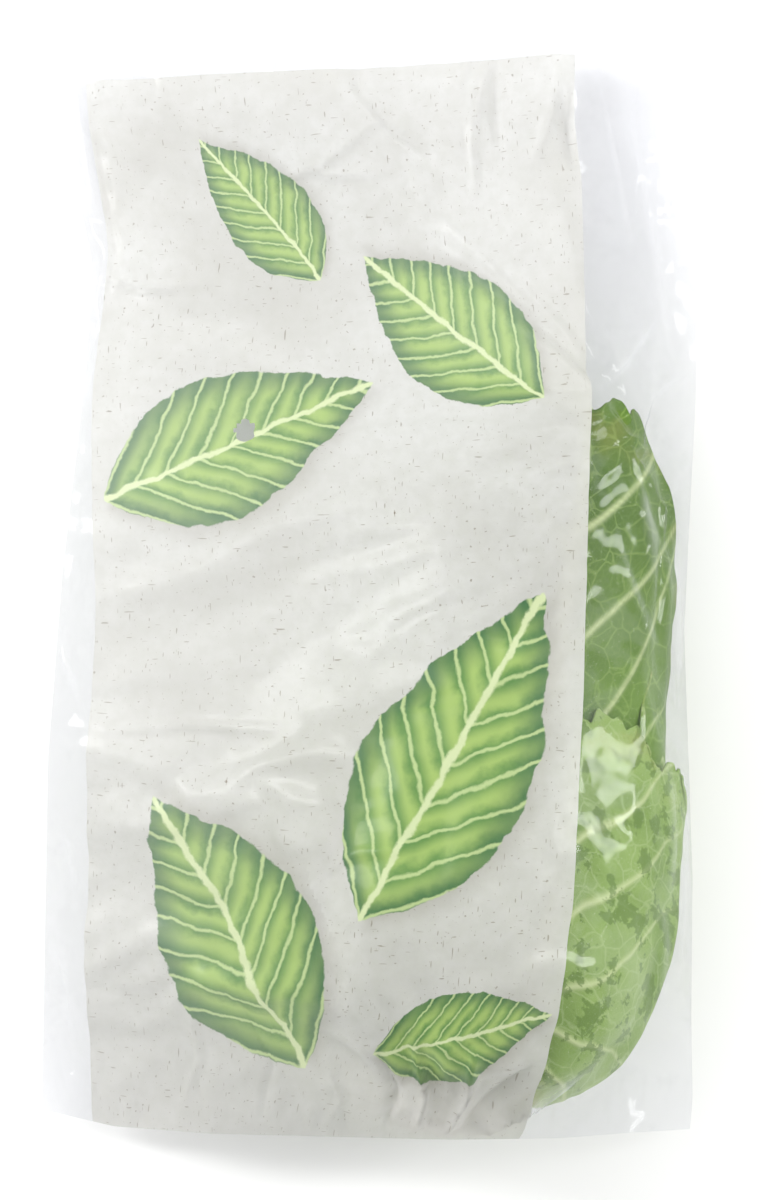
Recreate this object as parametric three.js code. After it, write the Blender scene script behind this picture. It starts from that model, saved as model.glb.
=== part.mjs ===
// A pointed cabbage lying on its side in a sealed bag of clear film.
// Millimetres, +Z up. +Y runs from the stem end towards the tip, and +X is the right-hand side of the
// bag seen from above. The bag lies on its back web, which is flat on the surface under the cabbage.
import * as THREE from "three";

// Cabbage: ends of the head's axis, and how its round section is pressed by its own weight and the film
const stemEnd = new THREE.Vector3(22.5, -160.5, 60);
const headTip = new THREE.Vector3(64, 64, 34);
const flattening = 0.2; // height lost against width where the head is widest
const roundRadius = 16; // a section this small, such as the stem, keeps its full height
const flatRadius = 45;
const sectionPower = 2.25; // 2 is an ellipse, more is a fuller shoulder
const restHeight = 1.4; // lowest leaf above the surface

// Half profiles from the stem to the tip: distance from the axis, distance along the axis.
// The outer one holds every wrapper leaf, the inner one is the tight head.
const outerProfile = [
  [14.5, -1], [31, -3], [47, 5], [59, 20], [66, 42], [67, 63], [63, 90], [54, 124],
  [48, 158], [42.5, 190], [36.5, 208], [27, 223], [15, 234], [0, 239],
];
const innerProfile = [
  [13.5, 19], [25, 20], [37, 27], [45.5, 42], [48.5, 62], [46.5, 88], [40, 122],
  [33, 155], [26, 184], [18, 206], [9, 221], [0, 228],
];

// Wrapper leaves, innermost first: azimuth of the midrib (0 is +X, 90 is up) and half width in degrees,
// and how far the leaf reaches from the stem to the tip, as a fraction of the head's side.
const wrapperLeaves = [
  { azimuth: 290, halfWidth: 80, reach: 0.92 },
  { azimuth: 150, halfWidth: 82, reach: 0.93 },
  { azimuth: 18, halfWidth: 80, reach: 0.91 },
  { azimuth: 248, halfWidth: 82, reach: 0.88 },
  { azimuth: 76, halfWidth: 84, reach: 0.9 },
  { azimuth: 328, halfWidth: 74, reach: 0.7 },
  { azimuth: 200, halfWidth: 78, reach: 0.76 },
  { azimuth: 68, halfWidth: 80, reach: 0.6 },
];
const leafThickness = 1;
const layersDeep = 5.6; // leaves that fill the space between the two profiles
const leafClearance = 1.5; // first leaf above the tight head
const coverFull = 14; // degrees past a leaf's margin where the next leaf still rides over it
const coverGone = 38; // degrees past the margin where the next leaf lies a layer deeper
const tipFull = 0.07; // the same two limits past a leaf's top, as fractions of the head's side
const tipGone = 0.2;
const leafColumns = 12;
const leafRows = 14;
const headSides = 24;
const headRings = 18;

// Stem: cut flat below the lowest leaf, bevelled by the knife, and ending under the tight head
const stemProfile = [[0, -5], [11.2, -5], [12.6, -3.6], [12.9, 6], [12.4, 18.6], [0, 18.6]];

// Bag: outline from above with the height of its folds and welds
const filmThickness = 0.8;
const seamGap = 0.3; // between the two webs where they meet
const headClearance = 1.2; // film above and below the leaves
const leftFold = [
  [-103, -167.5, 9], [-101.5, -130, 26], [-99.5, -56, 40], [-95, 3, 40], [-89.5, 50, 30],
  [-85.5, 82, 18], [-85, 100, 13], [-91, 122, 9], [-101, 152, 8], [-104, 167, 11],
];
const rightFold = [
  [101.5, -173, 10], [102, -161, 20], [100.5, -133, 42], [100.5, -90, 50], [98, -14, 48],
  [100.5, 24, 34], [103, 60, 20], [104, 120, 10], [102.5, 164.5, 6],
];
const topWeld = [
  [-104, 167, 11], [-97.5, 164, 8], [-84, 168.5, 6], [-20, 171, 8], [22, 173, 10], [58, 176.5, 12],
  [68, 176, 11], [80, 167, 7], [102.5, 164.5, 6],
];
const bottomWeld = [
  [-103, -167.5, 9], [-80, -172.5, 13], [-50, -174, 22], [25, -175, 32], [60, -174.5, 32],
  [84, -173.5, 22], [101.5, -173, 10],
];
const webColumns = 22;
const webRows = 28;
const rowCrowding = 1.5; // rows lie closer together at the stem end, where the film is steepest
const backSag = 0.05; // droop of the slack back web towards the surface, per mm of its span
const relaxPasses = 500;
const probeReach = 3.5; // half width of the patch that is felt for the leaf under a point of film

const colours = { leaf: 0x9ab56e, head: 0xb9cf8c, stem: 0xdfe3b9, front: 0xd6d6d2, back: 0xe8eaee };

const { degToRad, lerp, smoothstep } = THREE.MathUtils;
const group = new THREE.Group();

function addPiece(name, geometry, colour, roughness) {
  const material = new THREE.MeshStandardMaterial({ color: colour, roughness, metalness: 0 });
  const mesh = new THREE.Mesh(geometry, material);
  mesh.name = name;
  group.add(mesh);
  return mesh;
}

function indexedGeometry(points, triangles) {
  const geometry = new THREE.BufferGeometry();
  geometry.setAttribute("position", new THREE.Float32BufferAttribute(points.flatMap((p) => p.toArray()), 3));
  geometry.setIndex(triangles);
  return geometry;
}

// Closed slab between an upper and a lower sheet of points. Columns run to the right of the rows,
// seen from outside the upper sheet.
function slab(rows, columns, upper, lower) {
  const points = [];
  for (const sheet of [upper, lower]) {
    for (let j = 0; j <= rows; j++) for (let i = 0; i <= columns; i++) points.push(sheet(j, i));
  }
  const half = points.length / 2;
  const at = (j, i) => j * (columns + 1) + i;
  const triangles = [];
  const quad = (a, b, c, d) => triangles.push(a, b, c, a, c, d);
  for (let j = 0; j < rows; j++) {
    for (let i = 0; i < columns; i++) {
      const [a, b, c, d] = [at(j, i), at(j, i + 1), at(j + 1, i + 1), at(j + 1, i)];
      quad(a, b, c, d);
      quad(half + d, half + c, half + b, half + a);
    }
    quad(at(j + 1, 0), half + at(j + 1, 0), half + at(j, 0), at(j, 0));
    quad(at(j, columns), half + at(j, columns), half + at(j + 1, columns), at(j + 1, columns));
  }
  for (let i = 0; i < columns; i++) {
    quad(at(0, i), half + at(0, i), half + at(0, i + 1), at(0, i + 1));
    quad(at(rows, i + 1), half + at(rows, i + 1), half + at(rows, i), at(rows, i));
  }
  return indexedGeometry(points, triangles);
}

// Closed body of rings round the head's axis, from a profile that starts and ends on the axis.
function ringBody(profile, sides) {
  const points = [headPoint(...profile[0], 0), headPoint(...profile.at(-1), 0)];
  const rings = profile.slice(1, -1);
  for (const [radius, along] of rings) {
    for (let k = 0; k < sides; k++) points.push(headPoint(radius, along, (-2 * Math.PI * k) / sides));
  }
  const at = (ring, k) => 2 + ring * sides + (k % sides);
  const last = rings.length - 1;
  const triangles = [];
  for (let k = 0; k < sides; k++) {
    triangles.push(0, at(0, k + 1), at(0, k), 1, at(last, k), at(last, k + 1));
    for (let r = 0; r < last; r++) {
      triangles.push(at(r, k), at(r, k + 1), at(r + 1, k + 1), at(r, k), at(r + 1, k + 1), at(r + 1, k));
    }
  }
  return indexedGeometry(points, triangles);
}

// ---- the head's own frame: radius from the axis, distance along it, angle from +X over the top ----
const alongAxis = headTip.clone().sub(stemEnd).normalize();
const sideAxis = alongAxis.clone().cross(new THREE.Vector3(0, 0, 1)).normalize();
const upAxis = sideAxis.clone().cross(alongAxis);

function headPoint(radius, along, angle) {
  const squash = 1 - flattening * smoothstep(radius, roundRadius, flatRadius);
  const across = Math.abs(Math.cos(angle)) ** sectionPower;
  const upward = (Math.abs(Math.sin(angle)) / squash) ** sectionPower;
  const reach = radius / (across + upward) ** (1 / sectionPower);
  return stemEnd.clone()
    .addScaledVector(alongAxis, along)
    .addScaledVector(sideAxis, reach * Math.cos(angle))
    .addScaledVector(upAxis, reach * Math.sin(angle));
}

const asCurve = (profile) => new THREE.SplineCurve(profile.map(([r, w]) => new THREE.Vector2(r, w)));
const outerCurve = asCurve(outerProfile);
const innerCurve = asCurve(innerProfile);

// Depth of the leaf layers at a fraction of the head's side, and a point that far above the tight head
const layerDepth = (side) => outerCurve.getPointAt(side).distanceTo(innerCurve.getPointAt(side));
function sidePoint(side, angle, height) {
  const inner = innerCurve.getPointAt(side);
  const outward = outerCurve.getPointAt(side).sub(inner).normalize();
  return headPoint(inner.x + outward.x * height, inner.y + outward.y * height, angle);
}

// ---- wrapper leaves ----
// A leaf clasps the stem, is widest past its middle and has a rounded top.
const leafSpread = (leaf, fraction) =>
  degToRad(leaf.halfWidth) * (0.74 + 0.26 * Math.sin(Math.PI * Math.min(1, fraction * 0.85)) - 0.16 * fraction ** 5);
const topRounding = 0.13;

// How much of one layer a leaf adds under the leaves outside it: 1 on the leaf, fading past its margin
function cover(leaf, side, angle) {
  const turn = Math.abs(Math.atan2(Math.sin(angle - degToRad(leaf.azimuth)), Math.cos(angle - degToRad(leaf.azimuth))));
  const pastMargin = turn - leafSpread(leaf, Math.min(1, side / leaf.reach));
  const pastTop = side - leaf.reach;
  return (1 - smoothstep(pastMargin, degToRad(coverFull), degToRad(coverGone))) * (1 - smoothstep(pastTop, tipFull, tipGone));
}

function makeLeaf(leaf, number) {
  const sheet = (lift) => (j, i) => {
    const turn = (2 * i) / leafColumns - 1;
    const fraction = (j / leafRows) ** 1.4;
    const side = fraction * leaf.reach * (1 - topRounding * turn ** 4);
    const angle = degToRad(leaf.azimuth) - turn * leafSpread(leaf, fraction);
    const layers = wrapperLeaves.slice(0, number).reduce((sum, under) => sum + cover(under, side, angle), 0);
    const height = leafClearance + (layers * (layerDepth(side) - leafThickness)) / layersDeep;
    return sidePoint(side, angle, height + lift);
  };
  const geometry = slab(leafRows, leafColumns, sheet(leafThickness), sheet(0));
  return addPiece(`wrapper_leaf_${number + 1}`, geometry, colours.leaf, 0.55);
}

// ---- the cabbage, then settled on the surface ----
const headProfile = [[0, innerProfile[0][1]]];
for (let j = 0; j <= headRings; j++) {
  const { x, y } = innerCurve.getPointAt(j / headRings);
  headProfile.push([x, y]);
}
const cabbage = [
  addPiece("stem_stump", ringBody(stemProfile, headSides), colours.stem, 0.7),
  addPiece("inner_head", ringBody(headProfile, headSides), colours.head, 0.5),
  ...wrapperLeaves.map(makeLeaf),
];
const cabbageBox = new THREE.Box3();
for (const piece of cabbage) cabbageBox.expandByObject(piece, true);
for (const piece of cabbage) {
  piece.geometry.translate(0, 0, restHeight - cabbageBox.min.z);
  piece.updateMatrixWorld(true);
}

// ---- bag webs: sheets stretched between the folds and welds, resting on or under the cabbage ----
const asEdge = (knots) => new THREE.CatmullRomCurve3(knots.map((k) => new THREE.Vector3(...k)), false, "centripetal");
const [left, right, top, bottom] = [leftFold, rightFold, topWeld, bottomWeld].map(asEdge);

// Point of the flat bag, u across from the left and v from the stem end, blended from the four edges
function webPoint(u, v) {
  const between = left.getPointAt(v).lerp(right.getPointAt(v), u);
  const along = bottom.getPointAt(u).lerp(top.getPointAt(u), v);
  const corners = bottom.getPointAt(0).lerp(bottom.getPointAt(1), u)
    .lerp(top.getPointAt(0).lerp(top.getPointAt(1), u), v);
  return between.add(along).sub(corners);
}

const raycaster = new THREE.Raycaster();
// Leaf surface nearest the film over a small patch: the highest seen from above, or the lowest from below
function feelLeaf(point, fromAbove) {
  const sign = fromAbove ? 1 : -1;
  let found = -Infinity;
  for (const dx of [-probeReach, 0, probeReach]) {
    for (const dy of [-probeReach, 0, probeReach]) {
      raycaster.set(new THREE.Vector3(point.x + dx, point.y + dy, sign * 500), new THREE.Vector3(0, 0, -sign));
      const hit = raycaster.intersectObjects(cabbage, false)[0];
      if (hit) found = Math.max(found, sign * hit.point.z);
    }
  }
  return found === -Infinity ? null : sign * found;
}

// Heights of a web: the edges are held, and every other point settles to the mean of its neighbours,
// weighted by nearness, then droops and is stopped by what it meets.
function settleWeb(grid, limit, droop) {
  const nearness = (a, b) => 1 / Math.hypot(a.x - b.x, a.y - b.y);
  for (let pass = 0; pass < relaxPasses; pass++) {
    for (let j = 1; j < webRows; j++) {
      for (let i = 1; i < webColumns; i++) {
        const point = grid[j][i];
        const neighbours = [grid[j - 1][i], grid[j + 1][i], grid[j][i - 1], grid[j][i + 1]];
        const weights = neighbours.map((n) => nearness(point, n));
        const total = weights.reduce((a, b) => a + b);
        const mean = neighbours.reduce((sum, n, k) => sum + n.z * weights[k], 0) / total;
        point.z = limit(mean - (droop * neighbours.length) / total, j, i);
      }
    }
  }
  return grid;
}

const makeGrid = (lift) => Array.from({ length: webRows + 1 }, (_, j) =>
  Array.from({ length: webColumns + 1 }, (__, i) => {
    const point = webPoint(0.5 - 0.5 * Math.cos((Math.PI * i) / webColumns), (j / webRows) ** rowCrowding);
    point.z += lift;
    return point;
  }));

// z in both grids is the web's face on the bag's inside
const backGrid = makeGrid(-seamGap / 2);
const ceiling = backGrid.map((row) => row.map((point) => feelLeaf(point, false)));
settleWeb(backGrid, (z, j, i) => {
  const pressed = ceiling[j][i] === null ? z : Math.min(z, ceiling[j][i] - headClearance);
  return Math.max(filmThickness, pressed);
}, backSag);

const frontGrid = makeGrid(seamGap / 2);
const floor = frontGrid.map((row) => row.map((point) => feelLeaf(point, true)));
settleWeb(frontGrid, (z, j, i) => {
  const lifted = floor[j][i] === null ? z : Math.max(z, floor[j][i] + headClearance);
  return Math.max(backGrid[j][i].z + seamGap, lifted);
}, 0);

// Upward normal of a web at a grid point, from its neighbours
function webNormal(grid, j, i) {
  const across = grid[j][Math.min(i + 1, webColumns)].clone().sub(grid[j][Math.max(i - 1, 0)]);
  const along = grid[Math.min(j + 1, webRows)][i].clone().sub(grid[Math.max(j - 1, 0)][i]);
  return across.cross(along).normalize();
}

// A web is as thick as the film, measured square to it, on the outside of the bag
function makeWeb(name, grid, upperLift, lowerLift, colour) {
  const sheet = (lift) => (j, i) => grid[j][i].clone().addScaledVector(webNormal(grid, j, i), lift);
  addPiece(name, slab(webRows, webColumns, sheet(upperLift), sheet(lowerLift)), colour, 0.25);
}
makeWeb("bag_front_web", frontGrid, filmThickness, 0, colours.front);
makeWeb("bag_back_web", backGrid, 0, -filmThickness, colours.back);

// Origin at the middle of the bag, on the surface it lies on
const bagBox = new THREE.Box3().setFromObject(group, true);
group.position.set(-lerp(bagBox.min.x, bagBox.max.x, 0.5), -lerp(bagBox.min.y, bagBox.max.y, 0.5), -bagBox.min.z);

export default group;
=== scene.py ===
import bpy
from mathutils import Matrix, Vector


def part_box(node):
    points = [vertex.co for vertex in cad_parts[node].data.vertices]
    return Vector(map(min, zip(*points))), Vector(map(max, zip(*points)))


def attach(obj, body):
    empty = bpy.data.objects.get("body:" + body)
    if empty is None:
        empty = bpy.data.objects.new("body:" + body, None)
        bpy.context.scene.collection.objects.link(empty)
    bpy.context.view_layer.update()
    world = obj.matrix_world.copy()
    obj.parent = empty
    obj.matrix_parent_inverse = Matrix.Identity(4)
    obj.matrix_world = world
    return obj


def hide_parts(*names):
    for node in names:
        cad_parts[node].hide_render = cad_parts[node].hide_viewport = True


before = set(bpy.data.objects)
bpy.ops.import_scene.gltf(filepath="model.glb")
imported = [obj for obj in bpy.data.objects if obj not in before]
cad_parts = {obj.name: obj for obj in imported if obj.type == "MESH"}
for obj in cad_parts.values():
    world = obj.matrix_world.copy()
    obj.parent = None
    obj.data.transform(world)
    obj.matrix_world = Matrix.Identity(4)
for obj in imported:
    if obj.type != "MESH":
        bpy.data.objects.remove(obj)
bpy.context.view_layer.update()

import math

import bpy
import numpy as np
from mathutils import Vector

mm = 0.001
scene = bpy.context.scene
bpy.ops.object.select_all(action="DESELECT")

# ---- camera, straight above the bag as it lies ----
cameraSet = {"lens": 189, "height": 2.0, "aim": (0.005, -0.007)}
bpy.ops.object.camera_add(location=(*cameraSet["aim"], cameraSet["height"]), rotation=(0, 0, 0))
camera = bpy.context.object
camera.name = "viewCamera"
camera.data.lens = cameraSet["lens"]
camera.data.sensor_width = 36
camera.data.dof.use_dof = False
camera.data.clip_end = 20
scene.camera = camera


# ---- small tools ----
def smooth(value, low, high):
    t = np.clip((value - low) / (high - low), 0, 1)
    return t * t * (3 - 2 * t)


def waves(x, y, size, seed, count=14):
    # smooth noise between -1 and 1, from crossing waves about one size long
    rng = np.random.default_rng(seed)
    total = np.zeros(np.shape(x))
    for angle, phase, length in zip(rng.uniform(0, math.pi, count), rng.uniform(0, 2 * math.pi, count),
                                    rng.uniform(0.6, 1.7, count)):
        turned = x * math.cos(angle) + y * math.sin(angle)
        total = total + np.sin(turned * 2 * math.pi / (size * length) + phase)
    return total / math.sqrt(count * 0.5) / 2


def makeGrid(name, columns, rows):
    # a flat grid to be shaped: returns the object with each vertex's place, -1 to 1 across and 0 to 1 along
    bpy.ops.object.select_all(action="DESELECT")
    bpy.ops.mesh.primitive_grid_add(x_subdivisions=columns, y_subdivisions=rows, size=2)
    piece = bpy.context.object
    piece.name = name
    flat = readPoints(piece)
    return piece, flat[:, 0], (flat[:, 1] + 1) / 2


def readPoints(piece):
    flat = np.empty(len(piece.data.vertices) * 3)
    piece.data.vertices.foreach_get("co", flat)
    return flat.reshape(-1, 3)


def placePoints(piece, points):
    piece.data.vertices.foreach_set("co", np.ascontiguousarray(points, dtype=np.float64).ravel())
    piece.data.update()


def paint(piece, name, values):
    layer = piece.data.attributes.new(name, "FLOAT", "POINT")
    layer.data.foreach_set("value", np.ascontiguousarray(values, dtype=np.float32))


def paintUv(piece, across, along):
    loops = np.empty(len(piece.data.loops), dtype=np.int64)
    piece.data.loops.foreach_get("vertex_index", loops)
    layer = piece.data.uv_layers[0]
    layer.data.foreach_set("uv", np.stack([across[loops], along[loops]], axis=1).astype(np.float32).ravel())


def only(piece):
    bpy.ops.object.select_all(action="DESELECT")
    piece.select_set(True)
    bpy.context.view_layer.objects.active = piece


def applied(piece, kind, **settings):
    only(piece)
    modifier = piece.modifiers.new(kind.lower(), kind)
    for name, value in settings.items():
        setattr(modifier, name, value)
    bpy.ops.object.modifier_apply(modifier=modifier.name)


def smoothFaces(piece, angle=None):
    only(piece)
    if angle is None:
        bpy.ops.object.shade_smooth()
    else:
        bpy.ops.object.shade_smooth_by_angle(angle=math.radians(angle))


def finishPiece(piece, material, slotName, *nodes):
    for number, one in enumerate(material if isinstance(material, list) else [material]):
        if number < len(piece.data.materials):
            piece.data.materials[number] = one
        else:
            piece.data.materials.append(one)
    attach(piece, "root")
    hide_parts(*nodes)


# ---- shader tools ----
class Wire:
    # one output socket, so that maths on it can be written as it is spoken
    def __init__(self, tree, socket):
        self.tree = tree
        self.socket = socket

    def math(self, operation, *others, clamp=False):
        return self.tree.node("Math", {"operation": operation, "use_clamp": clamp},
                              dict(enumerate([self, *others])))

    def __add__(self, other): return self.math("ADD", other)
    def __radd__(self, other): return self.math("ADD", other)
    def __sub__(self, other): return self.math("SUBTRACT", other)
    def __rsub__(self, other): return self.tree.node("Math", {"operation": "SUBTRACT"}, {0: other, 1: self})
    def __mul__(self, other): return self.math("MULTIPLY", other)
    def __rmul__(self, other): return self.math("MULTIPLY", other)
    def __truediv__(self, other): return self.math("DIVIDE", other)
    def __pow__(self, other): return self.math("POWER", other)
    def __abs__(self): return self.math("ABSOLUTE")

    def between(self, low, high):
        # 0 below low, 1 above high, eased between them; low may be the larger
        return self.tree.node("MapRange", {"interpolation_type": "SMOOTHSTEP", "clamp": True},
                              {0: self, 1: low, 2: high, 3: 0.0, 4: 1.0})


class Tree:
    def __init__(self, name):
        self.material = bpy.data.materials.new(name)
        self.material.use_nodes = True
        self.nodes = self.material.node_tree.nodes
        self.links = self.material.node_tree.links
        self.nodes.clear()

    def node(self, kind, settings, sockets, output=0):
        made = self.nodes.new("ShaderNode" + kind)
        for name, value in settings.items():
            if name == "stops":
                ramp = made.color_ramp
                while len(ramp.elements) < len(value):
                    ramp.elements.new(1)
                for element, (place, colour) in zip(ramp.elements, value):
                    element.position, element.color = place, colour
            else:
                setattr(made, name, value)
        for name, value in sockets.items():
            if isinstance(value, Wire):
                self.links.new(value.socket, made.inputs[name])
            else:
                made.inputs[name].default_value = value
        return Wire(self, made.outputs[output])

    def place(self):
        return self.node("TexCoord", {}, {}, output="Object")

    def flat(self):
        return self.node("TexCoord", {}, {}, output="UV")

    def painted(self, name):
        return self.node("Attribute", {"attribute_name": name}, {}, output="Fac")

    def moved(self, vector, scale=(1, 1, 1), turn=(0, 0, 0), shift=(0, 0, 0)):
        return self.node("Mapping", {}, {"Vector": vector, "Scale": scale, "Rotation": turn,
                                         "Location": shift})

    def noise(self, vector, scale, detail=3.0, rough=0.5, warp=0.0):
        return self.node("TexNoise", {}, {"Vector": vector, "Scale": scale, "Detail": detail,
                                          "Roughness": rough, "Distortion": warp})

    def cells(self, vector, scale, feature="DISTANCE_TO_EDGE", output=0, loose=1.0):
        return self.node("TexVoronoi", {"feature": feature},
                         {"Vector": vector, "Scale": scale, "Randomness": loose},
                         output=output)

    def blend(self, factor, first, second, kind="MIX"):
        return self.node("Mix", {"data_type": "RGBA", "blend_type": kind},
                         {0: factor, 6: first, 7: second}, output=2)

    def split(self, vector):
        parts = self.node("SeparateXYZ", {}, {0: vector})
        return [Wire(self, socket) for socket in parts.socket.node.outputs]

    def bump(self, height, strength, distance):
        return self.node("Bump", {}, {"Strength": strength, "Distance": distance, "Height": height})

    def surface(self, sockets):
        return self.node("BsdfPrincipled", {}, sockets)

    def done(self, shader):
        self.links.new(shader.socket, self.nodes.new("ShaderNodeOutputMaterial").inputs["Surface"])
        return self.material


def rgb(red, green, blue):
    # a colour as it is picked on screen, made linear
    return tuple(((c / 255 + 0.055) / 1.055) ** 2.4 if c > 10 else c / 255 / 12.92
                 for c in (red, green, blue)) + (1.0,)


# ---- the head's own frame, as in the construction: metres, angle from +X over the top ----
headSet = {
    "stemEnd": (0.0224, -0.161, 0.060), "headTip": (0.0639, 0.0635, 0.034),
    "flattening": 0.2, "roundRadius": 0.016, "flatRadius": 0.045, "sectionPower": 2.25,
    "layersDeep": 5.6, "leafClearance": 0.0015, "leafThickness": 0.0009,
    "outer": [[14.5, -1], [31, -3], [47, 5], [59, 20], [66, 42], [67, 63], [63, 90], [54, 124],
              [48, 158], [42.5, 190], [36.5, 208], [27, 223], [15, 234], [0, 239]],
    "inner": [[13.5, 19], [25, 20], [37, 27], [45.5, 42], [48.5, 62], [46.5, 88], [40, 122],
              [33, 155], [26, 184], [18, 206], [9, 221], [0, 228]],
}
stemEnd, headTip = np.array(headSet["stemEnd"]), np.array(headSet["headTip"])
alongAxis = (headTip - stemEnd) / np.linalg.norm(headTip - stemEnd)
sideAxis = np.cross(alongAxis, (0, 0, 1))
sideAxis /= np.linalg.norm(sideAxis)
upAxis = np.cross(sideAxis, alongAxis)


def profileTable(knots, steps=30):
    # a smooth line through the knots, with how far along it each point lies, 0 to 1
    knots = np.array(knots) * mm
    line = []
    for k in range(len(knots) - 1):
        before, start = knots[max(k - 1, 0)], knots[k]
        end, after = knots[k + 1], knots[min(k + 2, len(knots) - 1)]
        leaving, arriving = (end - before) / 2, (after - start) / 2
        t = np.linspace(0, 1, steps, endpoint=False)[:, None]
        line.append((2 * start - 2 * end + leaving + arriving) * t ** 3
                    + (3 * end - 3 * start - 2 * leaving - arriving) * t ** 2 + leaving * t + start)
    line = np.vstack(line + [knots[-1:]])
    run = np.concatenate([[0], np.cumsum(np.linalg.norm(np.diff(line, axis=0), axis=1))])
    return run / run[-1], line[:, 0], line[:, 1], run[-1]


outerTable, innerTable = profileTable(headSet["outer"]), profileTable(headSet["inner"])


def profileAt(table, side):
    return np.interp(side, table[0], table[1]), np.interp(side, table[0], table[2])


def headPoint(radius, along, angle):
    squash = 1 - headSet["flattening"] * smooth(radius, headSet["roundRadius"], headSet["flatRadius"])
    power = headSet["sectionPower"]
    spread = np.abs(np.cos(angle)) ** power + (np.abs(np.sin(angle)) / squash) ** power
    reach = radius / spread ** (1 / power)
    return (stemEnd + np.multiply.outer(along, alongAxis) + np.multiply.outer(reach * np.cos(angle), sideAxis)
            + np.multiply.outer(reach * np.sin(angle), upAxis))


def layerDepth(side):
    outerR, outerW = profileAt(outerTable, side)
    innerR, innerW = profileAt(innerTable, side)
    return np.hypot(outerR - innerR, outerW - innerW)


def sidePoint(side, angle, height):
    outerR, outerW = profileAt(outerTable, side)
    innerR, innerW = profileAt(innerTable, side)
    depth = np.hypot(outerR - innerR, outerW - innerW)
    return headPoint(innerR + (outerR - innerR) / depth * height,
                     innerW + (outerW - innerW) / depth * height, angle)


# ---- wrapper leaves ----
# veins: where each leaves the midrib and how steeply it climbs, as [mm from the stem, slope, bend]
# lift: how much room the leaf takes under the next one
# flare: how far its right half stands off, mm, over its length and at its top
leafSet = {"columns": 84, "rows": 110, "fineColumns": 150, "fineRows": 190}
plainVeins = [[22, -0.05, 0], [40, 0.1, 0.002], [56, 0.55, 0.002], [78, 0.85, 0.003], [102, 1.0, 0.003],
              [126, 1.15, 0.004], [150, 1.25, 0.004], [176, 1.3, 0.005]]
wrapperLeaves = [
    {"azimuth": 290, "halfWidth": 80, "reach": 0.92, "lift": 1.0, "pale": 0.5},
    {"azimuth": 150, "halfWidth": 82, "reach": 0.93, "lift": 1.0, "pale": 0.35},
    {"azimuth": 18, "halfWidth": 80, "reach": 0.91, "lift": 1.0, "pale": 0.3},
    {"azimuth": 248, "halfWidth": 82, "reach": 0.88, "lift": 1.0, "pale": 0.4},
    {"azimuth": 74, "halfWidth": 84, "reach": 0.9, "rounding": 0.05, "ragged": 0.6,
     "lift": 0.45, "pale": 0.0, "fine": True,
     "flare": [1.5, 5],
     "veins": [[24, -0.05, 0], [44, 0.15, 0.002], [66, 0.7, 0.002], [90, 1.2, 0.002], [116, 1.15, 0.014],
               [171, 0.75, 0.006], [214, 0.8, 0.004]]},
    {"azimuth": 328, "halfWidth": 74, "reach": 0.7, "lift": 1.0, "pale": 0.5},
    {"azimuth": 200, "halfWidth": 78, "reach": 0.76, "lift": 1.0, "pale": 0.6},
    {"azimuth": 64, "halfWidth": 80, "reach": 0.525, "rounding": 0.1, "lift": 1.0, "pale": 1.0, "fine": True,
     "flare": [1.5, 0.5], "ragged": 1.5,
     "veins": [[14, -0.25, 0], [28, -0.16, 0.001], [39, 0.05, 0.001], [43, 0.84, 0.001], [71, 0.84, 0.002],
               [98, 0.9, 0.003]]},
]


def leafSpread(leaf, fraction):
    return math.radians(leaf["halfWidth"]) * (0.74 + 0.26 * np.sin(math.pi * np.minimum(1, fraction * 0.85))
                                              - 0.16 * fraction ** 5)


def cover(leaf, side, angle, full, gone):
    # how much of one layer a leaf adds under what lies outside it; full and gone are distances past its edge
    radius = np.maximum(profileAt(outerTable, side)[0], 0.012)
    turn = np.abs((angle - math.radians(leaf["azimuth"]) + math.pi) % (2 * math.pi) - math.pi)
    pastMargin = (turn - leafSpread(leaf, np.minimum(1, side / leaf["reach"]))) * radius
    share = np.minimum(turn / math.radians(leaf["halfWidth"]), 1)
    topHere = leaf["reach"] * (1 - leaf.get("rounding", 0.13) * share ** 4)
    pastTop = (side - topHere) * outerTable[3]
    return (1 - smooth(pastMargin, full, gone)) * (1 - smooth(pastTop, full, gone))


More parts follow.
